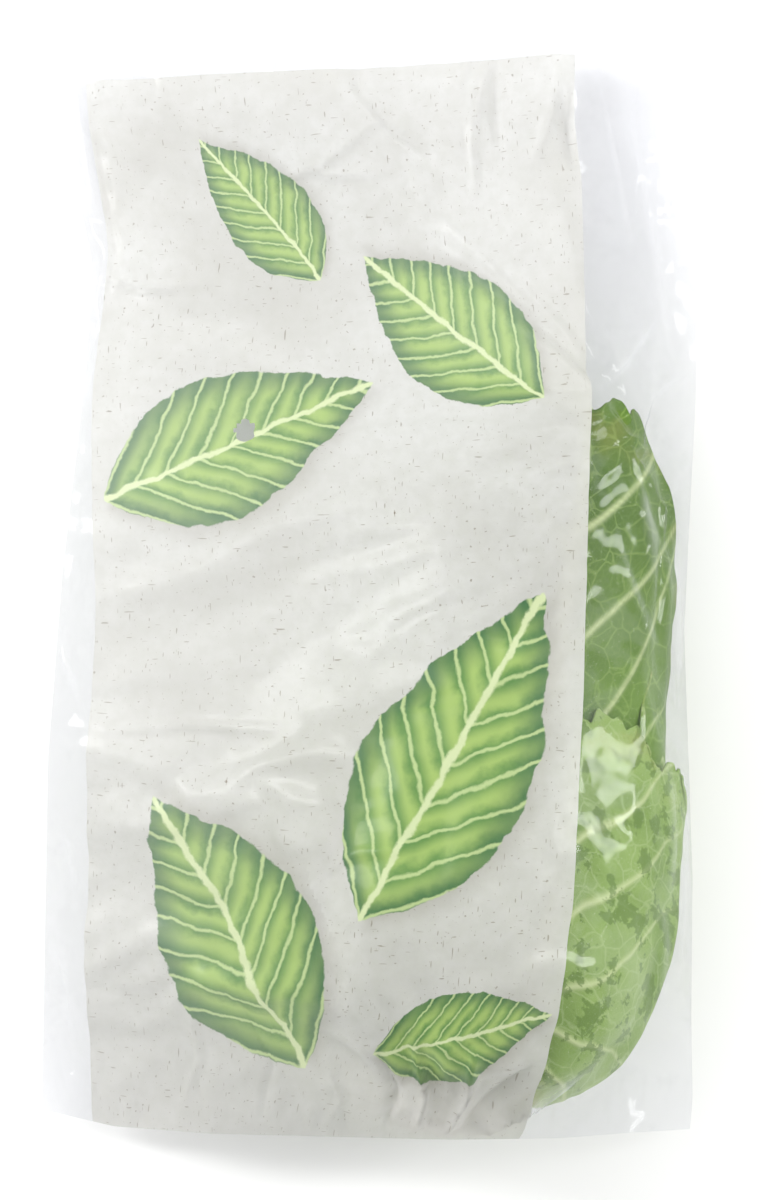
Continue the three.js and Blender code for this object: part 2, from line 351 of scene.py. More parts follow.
def makeLeaf(leaf, number):
    fine = leaf.get("fine", False)
    piece, turn, row = makeGrid(f"leafVisual{number + 1}", leafSet["fineColumns" if fine else "columns"],
                                leafSet["fineRows" if fine else "rows"])
    fraction = row ** 1.15
    ragged = (waves(turn * 3, turn * 0, 1.0, 40 + number) * 0.012
              + waves(turn * 9, turn * 0, 1.0, 60 + number) * 0.006)
    ragged = ragged * leaf.get("ragged", 1)
    side = fraction * (leaf["reach"] * (1 - leaf.get("rounding", 0.13) * turn ** 4) + ragged * fraction ** 6)
    angle = math.radians(leaf["azimuth"]) - turn * leafSpread(leaf, fraction)
    radius = np.maximum(profileAt(outerTable, side)[0], 0.012)
    across = turn * leafSpread(leaf, fraction) * radius / mm
    along = side * outerTable[3] / mm

    ribWidth = 5.2 * (1 - fraction) ** 0.8 + 1.3
    ribHeight = 3.0 * (1 - fraction) ** 1.6 + 0.35
    rib = np.exp(-(across / ribWidth) ** 4)
    veinMask, veinHeight = np.zeros_like(across), np.zeros_like(across)
    for start, slope, bend in leaf.get("veins", plainVeins):
        for hand in (-1, 1):
            out = np.maximum(across * hand, 0)
            begin = start + (3.5 if hand > 0 else -3.5)
            path = begin + slope * out + bend * out ** 2 + 1.2 * np.sin(out / 9 + begin)
            steep = slope + 2 * bend * out
            gap = np.abs(along - path) / np.sqrt(1 + steep ** 2)
            width = 1.5 * np.clip(1 - out / 95, 0.25, 1)
            here = np.exp(-(gap / width) ** 2) * (across * hand > -1) * np.clip(1.25 - out / 85, 0, 1)
            veinMask = np.maximum(veinMask, here)
            veinHeight = np.maximum(veinHeight, here * 0.55 * np.clip(1 - out / 80, 0.3, 1))
    blister = waves(across, along, 26, 10 + number) * 0.45 + waves(across, along, 11, 20 + number) * 0.16
    margin = np.maximum(np.abs(turn), row ** 1.5)
    ruffle = (1 + waves(across, along, 30, 30 + number)) * 1.1 * np.clip((margin - 0.8) / 0.2, 0, 1) ** 2

    height = np.full_like(side, headSet["leafClearance"])
    pitch = (layerDepth(side) - headSet["leafThickness"]) / headSet["layersDeep"]
    for under in wrapperLeaves[:number]:
        height += under["lift"] * pitch * cover(under, side, angle, 1.5 * mm, 14 * mm)
    body = np.clip(fraction * 12, 0, 1)
    bulge, flare = leaf.get("flare", (0, 0))
    height += (bulge * smooth(fraction, 0.05, 0.3) * smooth(turn, -0.1, 0.6)
               + flare * smooth(fraction, 0.55, 1) * smooth(turn, -0.3, 0.5)) * mm
    height += (rib * ribHeight * 0.6 + veinHeight + blister * body * (1 - rib) + ruffle) * mm
    height += headSet["leafThickness"]
    placePoints(piece, sidePoint(side, angle, height))

    paint(piece, "vein", np.maximum(rib, veinMask))
    paint(piece, "rib", rib)
    paint(piece, "margin", np.clip((margin - 0.86) / 0.14, 0, 1))
    paint(piece, "foot", 1 - smooth(along, 4, 34))
    paintUv(piece, across * 0.01, along * 0.01)
    return piece


cabbage = [makeLeaf(leaf, number) for number, leaf in enumerate(wrapperLeaves)]
print("wrapper leaves shaped:", len(cabbage))

# ---- tight head: a ball drawn to the inner profile, with the edges of its own leaves in relief ----
headLeaves = [
    {"azimuth": 40, "halfWidth": 70, "reach": 0.97}, {"azimuth": 175, "halfWidth": 74, "reach": 0.96},
    {"azimuth": 310, "halfWidth": 70, "reach": 0.95}, {"azimuth": 85, "halfWidth": 64, "reach": 0.9},
]
headRelief = {"step": 1.0, "fade": 1.6, "segments": 144, "rings": 120}
bpy.ops.object.select_all(action="DESELECT")
bpy.ops.mesh.primitive_uv_sphere_add(segments=headRelief["segments"], ring_count=headRelief["rings"],
                                     radius=1)
head = bpy.context.object
head.name = "tightHead"
ball = readPoints(head)
side = np.arccos(np.clip(-ball[:, 2], -1, 1)) / math.pi
angle = np.arctan2(-ball[:, 1], ball[:, 0])
relief = sum(cover(leaf, side, angle, 0, headRelief["fade"] * mm) for leaf in headLeaves) * headRelief["step"]
relief = relief + 0.35 * waves(angle * 30, side * 200, 24, 5)
radius, along = profileAt(innerTable, side)
closing = smooth(side, 0, 0.06)
shrink = (relief - 2.6) * mm * closing * smooth(1 - side, 0, 0.05)
placePoints(head, headPoint(np.where(side < 0.004, 0, radius + shrink), along, angle))
paint(head, "vein", np.clip(np.abs(waves(angle * 30, side * 240, 16, 8)) ** 6, 0, 1))
paint(head, "foot", 1 - smooth(side, 0.02, 0.2))
only(head)
bpy.ops.object.mode_set(mode="EDIT")
bpy.ops.mesh.select_all(action="SELECT")
bpy.ops.mesh.normals_make_consistent(inside=False)
bpy.ops.object.mode_set(mode="OBJECT")
cabbage.append(head)

# ---- cut stem ----
stemSet = {"radius": 0.0126, "from": -0.005, "to": 0.0186, "bevel": 0.0014, "sides": 72}
bpy.ops.object.select_all(action="DESELECT")
bpy.ops.mesh.primitive_cylinder_add(vertices=stemSet["sides"], radius=stemSet["radius"],
                                    depth=stemSet["to"] - stemSet["from"],
                                    location=(0, 0, (stemSet["to"] + stemSet["from"]) / 2))
stem = bpy.context.object
stem.name = "cutStem"
bpy.ops.object.transform_apply(location=True)
bpy.ops.object.mode_set(mode="EDIT")
bpy.ops.mesh.select_all(action="SELECT")
bpy.ops.mesh.bevel(offset=stemSet["bevel"], segments=3, affect="EDGES")
bpy.ops.mesh.select_all(action="DESELECT")
bpy.ops.object.mode_set(mode="OBJECT")
for face in stem.data.polygons:
    face.select = face.normal.z < -0.99 and len(face.vertices) > 8  # the cut end
bpy.ops.object.mode_set(mode="EDIT")
for step in range(4):
    bpy.ops.mesh.inset(thickness=stemSet["radius"] * 0.19, depth=(0.0003, -0.0004, 0.0002, -0.0005)[step])
bpy.ops.mesh.select_all(action="DESELECT")
bpy.ops.object.mode_set(mode="OBJECT")
raw = readPoints(stem)
raw[:, 2] += np.where(raw[:, 2] < -0.003, waves(raw[:, 0] / mm, raw[:, 1] / mm, 9, 77) * 0.3 * mm, 0)
placePoints(stem, stemEnd + np.multiply.outer(raw[:, 2], alongAxis) + np.multiply.outer(raw[:, 0], sideAxis)
            + np.multiply.outer(-raw[:, 1], upAxis))
cabbage.append(stem)

# settle the whole cabbage to the height of its construction
leafNodes = [f"wrapper_leaf_{k + 1}" for k in range(len(wrapperLeaves))]
lowestNode = min(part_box(node)[0][2] for node in leafNodes)
lowestLeaf = min(readPoints(piece)[:, 2].min() for piece in cabbage)
for piece in cabbage:
    placePoints(piece, readPoints(piece) + (0, 0, lowestNode - lowestLeaf))
print("cabbage settled by mm:", round((lowestNode - lowestLeaf) / mm, 2))

for piece in cabbage[:len(wrapperLeaves)]:
    applied(piece, "SOLIDIFY", thickness=headSet["leafThickness"] * 0.85, offset=-1)
for piece in cabbage:
    smoothFaces(piece, 50 if piece is stem else None)

# ---- bag: heights and outline of its folds, welds and print edges, mm ----
bagSet = {
    # y, x of the fold, height of the fold
    "left": [[-168, -103, 9], [-131, -101.5, 26], [-57, -99.5, 40], [2, -95, 40], [49, -90, 30],
             [66, -88.5, 22], [99, -87, 13], [121, -91.5, 9], [151, -101, 8], [166, -104, 11]],
    "right": [[-174, 101.5, 10], [-162, 102, 20], [-134, 100.5, 42], [-91, 100.5, 50], [-15, 98, 48],
              [23, 100.5, 34], [59, 103, 20], [119, 104, 10], [164, 102.5, 6]],
    # x, y, height of each weld
    "top": [[-104, 166, 11], [-97.5, 163, 8], [-84, 167.5, 6], [-20, 170, 8], [22, 172, 10], [58, 175.5, 12],
            [68, 175, 11], [80, 166, 7], [102.5, 164, 6]],
    "bottom": [[-103, -168, 9], [-80, -173, 13], [-50, -174.5, 22], [25, -175.5, 32], [60, -175, 32],
               [84, -174, 22], [101.5, -174, 10]],
    # y, x of the print's two edges
    "printLeft": [[-171, -87], [-157, -88], [-116, -89.5], [-57, -88], [-7, -85], [30, -86.7], [55, -87.3],
                  [74, -86], [87, -84.2], [102, -82.6], [121, -85.3], [143, -88.6], [164, -90]],
    "printRight": [[-172, 47], [-151, 54], [-132, 59], [-101, 63.3], [-38, 65.5], [12, 66.5], [55, 67.5],
                   [87, 67.2], [118, 66.5], [137, 64.6], [150, 64.9], [166, 66]],
    "columns": (8, 58, 18), "rows": (118, 4), "printTop": 0.971,
}
leftColumns, printColumns, rightColumns = bagSet["columns"]
webColumns, webRows = sum(bagSet["columns"]), sum(bagSet["rows"])


def knotAt(knots, t, item=1):
    knots = np.array(knots, dtype=float)
    return np.interp(t, knots[:, 0], knots[:, item])


def webPlan():
    # where each row and column of the bag's webs lies, seen from above, with the height of the held edges
    rowV = np.concatenate([np.linspace(0, bagSet["printTop"], bagSet["rows"][0], endpoint=False),
                           np.linspace(bagSet["printTop"], 1, bagSet["rows"][1] + 1)])
    y = -172 + rowV * (166 + 172)
    edges = [knotAt(bagSet["left"], y), knotAt(bagSet["printLeft"], y), knotAt(bagSet["printRight"], y),
             knotAt(bagSet["right"], y)]
    x = np.concatenate([np.linspace(edges[0], edges[1], leftColumns, endpoint=False),
                        np.linspace(edges[1], edges[2], printColumns, endpoint=False),
                        np.linspace(edges[2], edges[3], rightColumns + 1)]).T
    # rows bow to follow the two welds
    bottomY, topY = knotAt(bagSet["bottom"], x), knotAt(bagSet["top"], x)
    v = rowV[:, None]
    yy = bottomY + (topY - bottomY) * v
    zBottom, zTop = knotAt(bagSet["bottom"], x, 2), knotAt(bagSet["top"], x, 2)
    zLeft, zRight = knotAt(bagSet["left"], y, 2)[:, None], knotAt(bagSet["right"], y, 2)[:, None]
    u = np.linspace(0, 1, webColumns + 1)[None, :]
    z = zBottom * (1 - v) + zTop * v + zLeft * (1 - u) + zRight * u
    z -= ((zBottom[:, :1] * (1 - u) + zBottom[:, -1:] * u) * (1 - v)
          + (zTop[:, :1] * (1 - u) + zTop[:, -1:] * u) * v)
    return x * mm, yy * mm, z * mm, rowV


planX, planY, edgeZ, rowV = webPlan()


def leafHeights(x, y, above):
    # highest (or lowest) leaf near each place, from the leaves' own points on a 2 mm raster, widened a little
    step, wide = 2 * mm, 2
    points = np.vstack([readPoints(piece) for piece in cabbage])
    i = np.round((points[:, 0] + 0.12) / step).astype(int)
    j = np.round((points[:, 1] + 0.2) / step).astype(int)
    empty = -1.0 if above else 1.0
    raster = np.full((130, 210), empty)
    (np.maximum if above else np.minimum).at(raster, (i, j), points[:, 2])
    pick = np.maximum if above else np.minimum
    wider = raster.copy()
    for di in range(-wide, wide + 1):
        for dj in range(-wide, wide + 1):
            wider = pick(wider, np.roll(raster, (di, dj), (0, 1)))
    found = wider[np.clip(np.round((x + 0.12) / step).astype(int), 0, 129),
                  np.clip(np.round((y + 0.2) / step).astype(int), 0, 209)]
    return found


def settleWeb(start, limit, droop, passes=2600):
    z = start.copy()
    for _ in range(passes):
        z[1:-1, 1:-1] = limit((z[:-2, 1:-1] + z[2:, 1:-1] + z[1:-1, :-2] + z[1:-1, 2:]) / 4 - droop)
    return z


inner = (slice(1, -1), slice(1, -1))
roof, keel = leafHeights(planX, planY, True)[inner], leafHeights(planX, planY, False)[inner]
gap = 0.9 * mm
backZ = settleWeb(edgeZ, lambda z: np.clip(np.minimum(z, keel - gap), 0.2 * mm, None), 0.045 * mm)
frontZ = settleWeb(edgeZ, lambda z: np.maximum(np.maximum(z, roof + gap), backZ[inner] + 0.4 * mm), 0)
print("bag webs stretched; highest mm:", round(frontZ.max() / mm, 1))

# flat place of each point on the film, metres, with the print's left edge and lower end as zero
flatU = np.concatenate([np.linspace(-0.014, 0, leftColumns, endpoint=False),
                        np.linspace(0, 0.156, printColumns, endpoint=False),
                        np.linspace(0.156, 0.195, rightColumns + 1)])
flatV = rowV * 0.345


def makeWeb(name, z):
    piece, acrossGrid, alongGrid = makeGrid(name, webColumns, webRows)
    column = np.round((acrossGrid + 1) / 2 * webColumns).astype(int)
    row = np.round(alongGrid * webRows).astype(int)
    placePoints(piece, np.stack([planX[row, column], planY[row, column], z[row, column]], axis=1))
    paintUv(piece, flatU[column], flatV[row])
    return piece, row, column


frontWeb, frontRow, frontColumn = makeWeb("frontFilm", frontZ)
backWeb, backRow, backColumn = makeWeb("backFilm", backZ)

# the film is a little longer than the way over the cabbage, so it buckles into folds as it settles
filmCloth = {"slack": 0.009, "frames": 26, "stretch": 22, "bend": 0.12, "mass": 0.0006, "clear": 0.0006,
             "mostMove": 0.007, "proxyVoxel": 0.003}


def makeProxy():
    only(cabbage[0])
    for piece in cabbage:
        piece.select_set(True)
    bpy.ops.object.duplicate()
    bpy.context.view_layer.objects.active = bpy.context.selected_objects[0]
    bpy.ops.object.join()
    proxy = bpy.context.object
    applied(proxy, "REMESH", mode="VOXEL", voxel_size=filmCloth["proxyVoxel"])
    proxy.modifiers.new("meet", "COLLISION")
    proxy.collision.thickness_outer = filmCloth["clear"]
    proxy.collision.damping = 0.8
    return proxy


def settleCloth(piece, row, column, rise):
    before = readPoints(piece)
    held = (row == 0) | (row == webRows) | (column == 0) | (column == webColumns)
    group = piece.vertex_groups.new(name="held")
    group.add([int(k) for k in np.flatnonzero(held)], 1.0, "REPLACE")
    only(piece)
    modifier = piece.modifiers.new("settle", "CLOTH")
    cloth, touch = modifier.settings, modifier.collision_settings
    cloth.vertex_group_mass = "held"
    cloth.quality = 7
    cloth.mass = filmCloth["mass"]
    cloth.tension_stiffness = cloth.compression_stiffness = cloth.shear_stiffness = filmCloth["stretch"]
    cloth.bending_stiffness = filmCloth["bend"]
    cloth.shrink_min = -filmCloth["slack"]
    cloth.effector_weights.gravity = rise
    touch.distance_min = filmCloth["clear"]
    modifier.point_cache.frame_end = filmCloth["frames"]
    for frameNumber in range(1, filmCloth["frames"] + 1):
        scene.frame_set(frameNumber)
    only(piece)
    bpy.ops.object.modifier_apply(modifier=modifier.name)
    moved = readPoints(piece) - before
    far = np.maximum(np.linalg.norm(moved, axis=1, keepdims=True), 1e-9)
    after = before + moved * np.minimum(1, filmCloth["mostMove"] / far)
    after[:, 2] = np.maximum(after[:, 2], np.minimum(before[:, 2], 0.3 * mm))
    placePoints(piece, after)
    piece.vertex_groups.clear()


proxy = makeProxy()
settleCloth(frontWeb, frontRow, frontColumn, 0.4)
settleCloth(backWeb, backRow, backColumn, 0.4)
bpy.data.objects.remove(proxy)
scene.frame_set(1)
print("film settled")

# creases pressed into the film: [half their height, half width, then the line's points], all mm
creases = [
    [-1.1, 1.6, (40.5, 165), (40, 148), (41, 132)], [0.9, 1.2, (36, 160), (33, 140), (34, 118)],
    [-1.6, 2.0, (64, 156), (62.5, 143), (65, 128)], [0.8, 1.1, (60, 160), (58, 146), (52, 130)],
    [0.7, 1.0, (-30, 132), (-12, 126), (8, 128)], [0.8, 1.1, (-38, 120), (-14, 130), (6, 146)],
    [-0.6, 1.0, (-4, 156), (8, 140), (26, 132)], [0.6, 1.2, (-84, -48), (-56, -46), (-26, -47)],
    [0.7, 1.0, (-86, 96), (-70, 90), (-52, 92)], [-0.8, 1.4, (-88, 150), (-84, 128), (-80, 104), (-83, 84)],
    [0.9, 1.2, (-94, 160), (-90, 138), (-86, 112)], [0.7, 1.0, (-99, 158), (-95, 136), (-92, 120)],
    [2.2, 1.5, (22, -173), (30, -160), (33, -142)], [-2.0, 1.7, (27, -173), (38, -160), (52, -148)],
    [1.8, 1.3, (14, -173), (18, -158), (14, -140)], [1.9, 1.3, (30, -172), (48, -164), (66, -150)],
    [-1.6, 1.6, (4, -173), (8, -158), (2, -144)], [0.8, 1.2, (-14, -173), (-8, -162), (-12, -148)],
    [0.7, 1.0, (76, 16), (80, 2), (86, -14), (91, -26)], [0.6, 1.0, (83, 36), (86, 20), (93, 2)],
    [0.6, 1.0, (84, 26), (88, 10), (88, -2)], [0.7, 1.0, (94, 20), (96, -12), (95, -44)],
    [0.8, 1.1, (92, -60), (93, -84), (91, -104)], [0.7, 1.0, (96.5, -50), (97, -88), (95, -126)],
    [0.7, 1.1, (88, -96), (91, -112), (89, -134)], [0.6, 1.0, (72, 164), (78, 130), (84, 96)],
    [-0.7, 1.3, (80, 160), (86, 130), (92, 100), (96, 64)], [0.6, 1.0, (90, 158), (93, 126), (97, 92)],
    [0.7, 1.0, (70, 56), (80, 66), (92, 82)], [0.6, 1.0, (86, 54), (94, 60), (101, 64)],
    [0.7, 1.1, (-97, -20), (-92, -30), (-88, -44)], [0.6, 1.0, (-99, -70), (-93, -84), (-90, -104)],
    [0.6, 1.0, (-100, -110), (-94, -126), (-92, -150)], [0.6, 1.2, (-60, -170), (-52, -150), (-56, -128)],
    [-0.6, 1.2, (-34, -171), (-30, -152), (-40, -130)], [0.5, 1.2, (-20, -96), (-4, -84), (16, -82)],
]
pleatSet = {"count": 46, "seed": 12, "height": 0.9, "halfWidth": 1.0, "longest": 24}


def pressLine(points, line, height, halfWidth):
    # height added at each point by a crease along a broken line, fading out towards both of its ends
    line = np.array(line, dtype=float)
    run = np.concatenate([[0], np.cumsum(np.linalg.norm(np.diff(line, axis=0), axis=1))])
    nearest, place = np.full(len(points), 1e9), np.zeros(len(points))
    for k in range(len(line) - 1):
        leg = line[k + 1] - line[k]
        t = np.clip(((points - line[k]) @ leg) / (leg @ leg), 0, 1)
        away = np.linalg.norm(points - line[k] - t[:, None] * leg, axis=1)
        closer = away < nearest
        nearest = np.where(closer, away, nearest)
        place = np.where(closer, (run[k] + t * (run[k + 1] - run[k])) / run[-1], place)
    return height * np.exp(-(nearest / halfWidth) ** 1.4) * np.sin(np.clip(place, 0, 1) * math.pi) ** 0.7


def facets(points, size, seed):
    # flat-sided crumple: each point's distance to the border of its cell
    rng = np.random.default_rng(seed)
    count = int(210 * 352 / size ** 2)
    seeds = np.stack([rng.uniform(-105, 105, count), rng.uniform(-176, 176, count)], axis=1)
    away = np.sort(np.linalg.norm(points[:, None, :] - seeds[None, :, :], axis=2), axis=1)
    return (away[:, 1] - away[:, 0]) / size


def pressFilm(piece, handed, seed):
    # handed: 1 lifts the front web up, -1 the back web down; edges and the flat underside stay
    points = readPoints(piece)
    flat = points[:, :2] / mm
    rise = np.zeros(len(flat))
    if handed > 0:
        for height, halfWidth, *line in creases:
            rise += pressLine(flat, line, height * 2, halfWidth)
    rng = np.random.default_rng(pleatSet["seed"] + seed)
    for k in range(pleatSet["count"]):
        x = rng.uniform(-100, 100)
        atTop = k % 2
        weld = knotAt(bagSet["top" if atTop else "bottom"], x)
        reach = rng.uniform(6, pleatSet["longest"]) * (-1 if atTop else 1)
        lean = rng.uniform(-0.35, 0.35) * reach
        line = [(x, weld), (x + lean, weld + reach)]
        rise += pressLine(flat, line, pleatSet["height"] * rng.uniform(-1, 1), pleatSet["halfWidth"])
    crumple = facets(flat, 17, 3 + seed) * 0.25 + facets(flat, 38, 9 + seed) * 0.6
    nearEdge = np.minimum.reduce([np.abs(flat[:, 0] - knotAt(bagSet["left"], flat[:, 1])),
                                  np.abs(knotAt(bagSet["right"], flat[:, 1]) - flat[:, 0]),
                                  np.abs(flat[:, 1] - knotAt(bagSet["bottom"], flat[:, 0])),
                                  np.abs(knotAt(bagSet["top"], flat[:, 0]) - flat[:, 1])])
    hold = smooth(nearEdge, 0, 3)
    # how deep each crease is: the clear film is whiter along it, partly stress whitening and partly a painted
    # highlight for the glints on the folds
    paint(piece, "crease", np.clip(np.abs(rise) / 2, 0, 1) * hold)
    tight = 1 - smooth(np.hypot((flat[:, 0] - 62) / 34, (flat[:, 1] + 20) / 105), 0.75, 1.1)
    rise = rise * (1 - 0.45 * tight) + crumple * (1 - 0.75 * tight)
    if handed < 0:
        hold = hold * smooth(points[:, 2] / mm, 1, 5)  # the flat underside stays flat
    normals = np.empty(len(points) * 3)
    piece.data.vertices.foreach_get("normal", normals)
    points = points + normals.reshape(-1, 3) * (rise * hold * mm)[:, None]
    points[:, 2] = np.maximum(points[:, 2], 0.2 * mm)
    placePoints(piece, points)


for piece, handed in ((frontWeb, 1), (backWeb, -1)):
    applied(piece, "SUBSURF", levels=1, render_levels=1, subdivision_type="CATMULL_CLARK",
            boundary_smooth="PRESERVE_CORNERS")
    pressFilm(piece, handed, int(handed < 0))
print("film creased")

# the print covers the middle columns below the clear strip; its material comes later, in the second slot
uvs = np.empty(len(frontWeb.data.loops) * 2)
frontWeb.data.uv_layers[0].data.foreach_get("uv", uvs)
uvs = uvs.reshape(-1, 4, 2).mean(axis=1)
isPrint = (uvs[:, 0] > 0) & (uvs[:, 0] < 0.156) & (uvs[:, 1] < bagSet["printTop"] * 0.345)
for number in range(2):
    frontWeb.data.materials.append(bpy.data.materials.new(f"place{number}"))
frontWeb.data.polygons.foreach_set("material_index", isPrint.astype(np.int32))

# the punched vent hole: points near its rim move onto it, the faces within go
ventSet = {"middle": (-0.0384, 0.0459), "radius": 0.0036, "near": 0.0006, "scallops": 9, "bite": 0.06}
points = readPoints(frontWeb)
off = points[:, :2] - np.array(ventSet["middle"])
away, bearing = np.hypot(off[:, 0], off[:, 1]), np.arctan2(off[:, 1], off[:, 0])
rim = ventSet["radius"] * (1 + ventSet["bite"] * np.cos(ventSet["scallops"] * bearing))
onRim = np.abs(away - rim) < ventSet["near"]
points[onRim, :2] = np.array(ventSet["middle"]) + (off / away[:, None] * rim[:, None])[onRim]
placePoints(frontWeb, points)
within = (away < rim + 0.1 * mm) | onRim
only(frontWeb)
bpy.ops.object.mode_set(mode="EDIT")
bpy.ops.mesh.select_mode(type="FACE")
bpy.ops.mesh.select_all(action="DESELECT")
bpy.ops.object.mode_set(mode="OBJECT")
for face in frontWeb.data.polygons:
    face.select = all(within[k] for k in face.vertices)
bpy.ops.object.mode_set(mode="EDIT")
bpy.ops.mesh.delete(type="FACE")
bpy.ops.object.mode_set(mode="OBJECT")
smoothFaces(frontWeb)
smoothFaces(backWeb)

# printed leaves: middle from the print's lower left corner, length, mm, and turn in degrees
printLeaves = [[116, 118, 112, 62], [48, 64, 102, 122], [46, 218, 92, 24],
               [112, 252, 76, 140], [126, 34, 58, 14], [52, 292, 58, 128]]
uvs = np.empty(len(frontWeb.data.loops) * 2)
frontWeb.data.uv_layers[0].data.foreach_get("uv", uvs)
uvs = uvs.reshape(-1, 2) / mm
loopFace = np.repeat(np.arange(len(frontWeb.data.polygons)), [p.loop_total for p in frontWeb.data.polygons])
nearest, sprig = np.full(len(loopFace), 1e9), np.zeros((len(loopFace), 3))
for x, y, length, turn in printLeaves:
    turn = math.radians(turn)
    offX, offY = uvs[:, 0] - x, uvs[:, 1] - y
    local = np.stack([offX * math.cos(turn) + offY * math.sin(turn),
                      offY * math.cos(turn) - offX * math.sin(turn)], axis=1)
    local /= length
    # a face belongs to one leaf with all its corners, the leaf it is nearest to
    away = np.hypot(np.maximum(np.abs(local[:, 0]) - 0.3, 0), local[:, 1]) * length
    away = (np.bincount(loopFace, away) / np.bincount(loopFace))[loopFace]
    closer = away < nearest
    nearest = np.where(closer, away, nearest)
    sprig[closer] = np.concatenate([local, np.full((len(local), 1), x + y)], axis=1)[closer]
frontWeb.data.attributes.new("sprig", "FLOAT_VECTOR", "CORNER").data.foreach_set("vector", sprig.ravel())


# ---- materials ----
def leafMaterial(name, pale, seed):
    tree = Tree(name)
    flat = tree.flat()
    vein, foot, rib, margin = (tree.painted(k) for k in ("vein", "foot", "rib", "margin"))
    patch = tree.noise(tree.moved(flat, shift=(seed, 0, 0)), 5.0, 4.0, 0.55)
    broad = tree.noise(tree.moved(flat, shift=(0, seed, 0)), 1.6, 2.0)
    deep = tree.blend(pale, rgb(72, 108, 28), rgb(108, 140, 56))
    light = tree.blend(pale, rgb(112, 146, 56), rgb(150, 177, 100))
    colour = tree.blend(broad.between(0.35, 0.65) * 0.6 + patch.between(0.3, 0.7) * 0.4, deep, light)
    colour = tree.blend(tree.split(flat)[1].between(1.4, 2.1) * (0.45 - pale * 0.45), colour, rgb(70, 98, 30))
    # net of small veins
    stray = tree.node("TexNoise", {}, {"Vector": flat, "Scale": 14.0}, output="Color")
    stray = tree.node("VectorMath", {"operation": "SCALE"}, {0: stray, "Scale": 0.035})
    warped = tree.node("VectorMath", {"operation": "ADD"}, {0: flat, 1: stray})
    netBig = tree.cells(warped, 11.0).between(0.055, 0.0)
    netSmall = tree.cells(warped, 34.0).between(0.06, 0.0)
    net = netBig * 0.5 + netSmall * 0.22
    colour = tree.blend(net * 0.5, colour, tree.blend(pale, rgb(160, 186, 104), rgb(190, 208, 156)))
    colour = tree.blend(vein * 0.85, colour, rgb(202, 214, 160))
    colour = tree.blend(rib * 0.6, colour, rgb(218, 222, 178))
    colour = tree.blend(foot.between(0.0, 1.0) * 0.75, colour, rgb(206, 220, 160))
    # darker where the leaf is wet against the film, small pale drops
    wet = tree.noise(tree.moved(flat, shift=(4, seed, 0)), 9.0, 6.0, 0.66)
    colour = tree.blend(wet.between(0.53, 0.56) * (0.2 + pale * 0.45), colour, rgb(88, 120, 42))
    colour = tree.blend(tree.cells(flat, 60.0, "F1").between(0.13, 0.06) * 0.5, colour, rgb(206, 216, 186))
    # bruises and dry spots
    spots = tree.noise(tree.moved(flat, shift=(seed * 2, 3, 0)), 26.0, 4.0, 0.7)
    colour = tree.blend(spots.between(0.70, 0.76) * 0.65, colour, rgb(96, 84, 40))
    colour = tree.blend(foot * patch.between(0.5, 0.62) * 0.5, colour, rgb(140, 122, 60))
    colour = tree.blend(margin * patch.between(0.5, 0.7) * 0.35, colour, rgb(156, 142, 72))
    rough = 0.36 + patch * 0.2
    height = vein * 0.4 + tree.noise(flat, 30.0, 4.0) * 0.3
    return tree.done(tree.surface({"Base Color": colour, "Roughness": rough, "Specular IOR Level": 0.25,
                                   "Normal": tree.bump(height, 0.5, 0.0006)}))


def headMaterial():
    tree = Tree("tightHeadLeaf")
    place = tree.place()
    vein, foot = tree.painted("vein"), tree.painted("foot")
    patch = tree.noise(place, 45.0, 4.0)
    colour = tree.blend(patch.between(0.3, 0.7), rgb(168, 192, 112), rgb(196, 212, 146))
    colour = tree.blend(vein * 0.5, colour, rgb(218, 226, 180))
    colour = tree.blend(foot, colour, rgb(224, 228, 190))
    net = tree.cells(place, 160.0).between(0.06, 0.0)
    return tree.done(tree.surface({"Base Color": colour, "Roughness": 0.42 + patch * 0.15,
                                   "Normal": tree.bump(net * 0.4 + patch, 0.4, 0.0008)}))


def stemMaterial():
    tree = Tree("cutStemFlesh")
    place = tree.place()
    grain = tree.noise(place, 420.0, 4.0)
    dry = tree.noise(place, 70.0, 3.0)
    colour = tree.blend(grain.between(0.35, 0.65), rgb(206, 200, 158), rgb(226, 222, 186))
    colour = tree.blend(dry.between(0.5, 0.68) * 0.6, colour, rgb(168, 142, 92))
    return tree.done(tree.surface({"Base Color": colour, "Roughness": 0.62 + grain * 0.2,
                                   "Normal": tree.bump(grain, 0.6, 0.0006)}))


def clearFilm():
    tree = Tree("clearFilmSheet")
    place = tree.place()
    # milky where it stands off the leaves, clear where it clings wet to them; whiter along the creases,
    # partly the film's own stress whitening and partly a painted highlight standing in for the glints on its
    # folds
    cloud = tree.noise(place, 26.0, 4.0, 0.66)
    hazeAndCreaseHighlight = 0.008 + cloud.between(0.5, 0.57) * 0.04 + tree.painted("crease") ** 1.5 * 0.3
    scuff = tree.noise(tree.moved(place, scale=(1, 0.2, 1), turn=(0, 0, 0.12)), 190.0, 1.0)
    normal = tree.bump(tree.noise(place, 60.0, 2.0) + scuff * 0.5, 0.4, 0.0008)
    body = tree.surface({"Base Color": (0.84, 0.86, 0.88, 1), "Roughness": 0.35, "Normal": normal})
    through = tree.node("BsdfTransparent", {}, {"Color": (0.936, 0.938, 0.947, 1)})
    sheet = tree.node("MixShader", {}, {0: hazeAndCreaseHighlight, 1: through, 2: body})
    shine = tree.node("BsdfGlossy", {}, {"Color": (1, 1, 1, 1), "Roughness": 0.1, "Normal": normal})
    facing = tree.node("Fresnel", {}, {"IOR": 1.5, "Normal": normal})
    return tree.done(tree.node("MixShader", {}, {0: facing.math("MINIMUM", 0.2) * 0.6, 1: sheet, 2: shine}))


